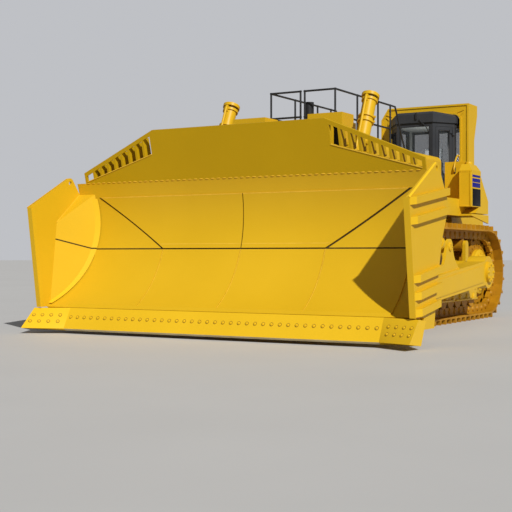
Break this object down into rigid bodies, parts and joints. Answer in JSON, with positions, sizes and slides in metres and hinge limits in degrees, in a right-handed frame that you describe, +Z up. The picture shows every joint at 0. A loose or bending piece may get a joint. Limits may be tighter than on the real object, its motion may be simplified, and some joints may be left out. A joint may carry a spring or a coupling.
{
  "type": "crawler bulldozer",
  "caption": "Very large crawler bulldozer with a wide curved blade, tall spill guard, outboard push arms, lift and tilt cylinders, rear cab and roll-over frame",
  "frame": {"origin": "on the ground under the middle of the overall length and width", "axes": "+X forward along the machine, +Y to the machine's left, +Z up"},
  "size_m": [11.72, 7.4, 5.01],
  "materials": {
    "yellow_paint": "satin paint",
    "track_steel": "painted steel",
    "charcoal_paint": "satin paint",
    "dark_steel": "dull",
    "bright_steel": "polished",
    "cab_glass": "clear",
    "seat_cloth": "matt",
    "black_core": "dull"
  },
  "bodies": {
    "tractor": {"track_left": "track_steel", "track_right": "track_steel", "sprockets": "track_steel", "final_drives": "yellow_paint", "idlers": "track_steel", "track_rollers": "track_steel", "track_frame_left": "yellow_paint", "track_frame_right": "yellow_paint", "lift_yokes": "yellow_paint", "main_frame": "yellow_paint", "engine": "dark_steel", "radiator_guard": "yellow_paint", "radiator_core": "black_core", "hood_top": "yellow_paint", "engine_side_panels": "yellow_paint", "exhaust_stack": "dark_steel", "handrails": "charcoal_paint", "deck": "yellow_paint", "fenders": "yellow_paint", "tank_left": "yellow_paint", "tank_right": "yellow_paint", "cab_frame": "charcoal_paint", "cab_roof": "charcoal_paint", "cab_glass": "cab_glass", "rops": "yellow_paint", "seat": "seat_cloth", "consoles": "charcoal_paint", "counterweight": "yellow_paint", "drawbar": "yellow_paint"},
    "push_frame": {"push_arm_left": "yellow_paint", "push_arm_right": "yellow_paint"},
    "blade": {"moldboard": "yellow_paint", "liner_plates": "yellow_paint", "cutting_edge": "yellow_paint", "end_bits": "yellow_paint", "end_plates": "yellow_paint", "blade_back": "yellow_paint", "spill_guard": "yellow_paint"},
    "lift_barrel_left": {"lift_barrel_left": "yellow_paint"},
    "lift_barrel_right": {"lift_barrel_right": "yellow_paint"},
    "lift_rod_left": {"lift_rod_left": "bright_steel"},
    "lift_rod_right": {"lift_rod_right": "bright_steel"},
    "tilt_barrel_left": {"tilt_barrel_left": "yellow_paint"},
    "tilt_barrel_right": {"tilt_barrel_right": "yellow_paint"},
    "tilt_rod_left": {"tilt_rod_left": "bright_steel"},
    "tilt_rod_right": {"tilt_rod_right": "bright_steel"},
    "door_left": {"door_left": "charcoal_paint", "door_left_glass": "cab_glass"},
    "door_right": {"door_right": "charcoal_paint", "door_right_glass": "cab_glass"}
  },
  "joints": [
    {"name": "blade_lift", "type": "hinge", "parent": "tractor", "child": "push_frame", "pos_m": [-1.25, 0, 1.05], "axis": [0, -1, 0], "range_deg": [-7.5, 14]},
    {"name": "blade_pitch", "type": "hinge", "parent": "push_frame", "child": "blade", "pos_m": [3.95, 0, 0.6], "axis": [0, 1, 0], "range_deg": [-6, 6]},
    {"name": "lift_swing_left", "type": "hinge", "parent": "tractor", "child": "lift_barrel_left", "pos_m": [2.7, 1.49, 3.3], "axis": [0, -1, 0], "range_deg": [-7, 13]},
    {"name": "lift_stroke_left", "type": "slide", "parent": "lift_barrel_left", "child": "lift_rod_left", "axis": [0.4042, 0, -0.9147], "range_m": [-1.12, 0.6]},
    {"name": "tilt_swing_left", "type": "hinge", "parent": "push_frame", "child": "tilt_barrel_left", "pos_m": [0.95, 2.4, 1.56], "axis": [0, -1, 0], "range_deg": [-1, 1]},
    {"name": "tilt_stroke_left", "type": "slide", "parent": "tilt_barrel_left", "child": "tilt_rod_left", "axis": [0.967, 0, 0.2547], "range_m": [-0.18, 0.18]},
    {"name": "door_swing_left", "type": "hinge", "parent": "tractor", "child": "door_left", "pos_m": [-4.15347, 0.79139, 3.6], "axis": [0, 0, 1], "range_deg": [0, 90]},
    {"name": "lift_swing_right", "type": "hinge", "parent": "tractor", "child": "lift_barrel_right", "pos_m": [2.7, -1.49, 3.3], "axis": [0, -1, 0], "range_deg": [-7, 13]},
    {"name": "lift_stroke_right", "type": "slide", "parent": "lift_barrel_right", "child": "lift_rod_right", "axis": [0.4042, 0, -0.9147], "range_m": [-1.12, 0.6]},
    {"name": "tilt_swing_right", "type": "hinge", "parent": "push_frame", "child": "tilt_barrel_right", "pos_m": [0.95, -2.4, 1.56], "axis": [0, -1, 0], "range_deg": [-1, 1]},
    {"name": "tilt_stroke_right", "type": "slide", "parent": "tilt_barrel_right", "child": "tilt_rod_right", "axis": [0.967, 0, 0.2547], "range_m": [-0.18, 0.18]},
    {"name": "door_swing_right", "type": "hinge", "parent": "tractor", "child": "door_right", "pos_m": [-4.15347, -0.79139, 3.6], "axis": [0, 0, -1], "range_deg": [0, 90]}
  ],
  "couplings": [
    {"joint": "lift_swing_left", "follows": "blade_lift", "ratio": 0.9},
    {"joint": "lift_stroke_left", "follows": "blade_lift", "m_per_rad": -4.52},
    {"joint": "tilt_swing_left", "follows": "blade_pitch", "ratio": -0.084},
    {"joint": "tilt_stroke_left", "follows": "blade_pitch", "m_per_rad": 1.69},
    {"joint": "lift_swing_right", "follows": "blade_lift", "ratio": 0.9},
    {"joint": "lift_stroke_right", "follows": "blade_lift", "m_per_rad": -4.52},
    {"joint": "tilt_swing_right", "follows": "blade_pitch", "ratio": -0.084},
    {"joint": "tilt_stroke_right", "follows": "blade_pitch", "m_per_rad": 1.69}
  ]
}
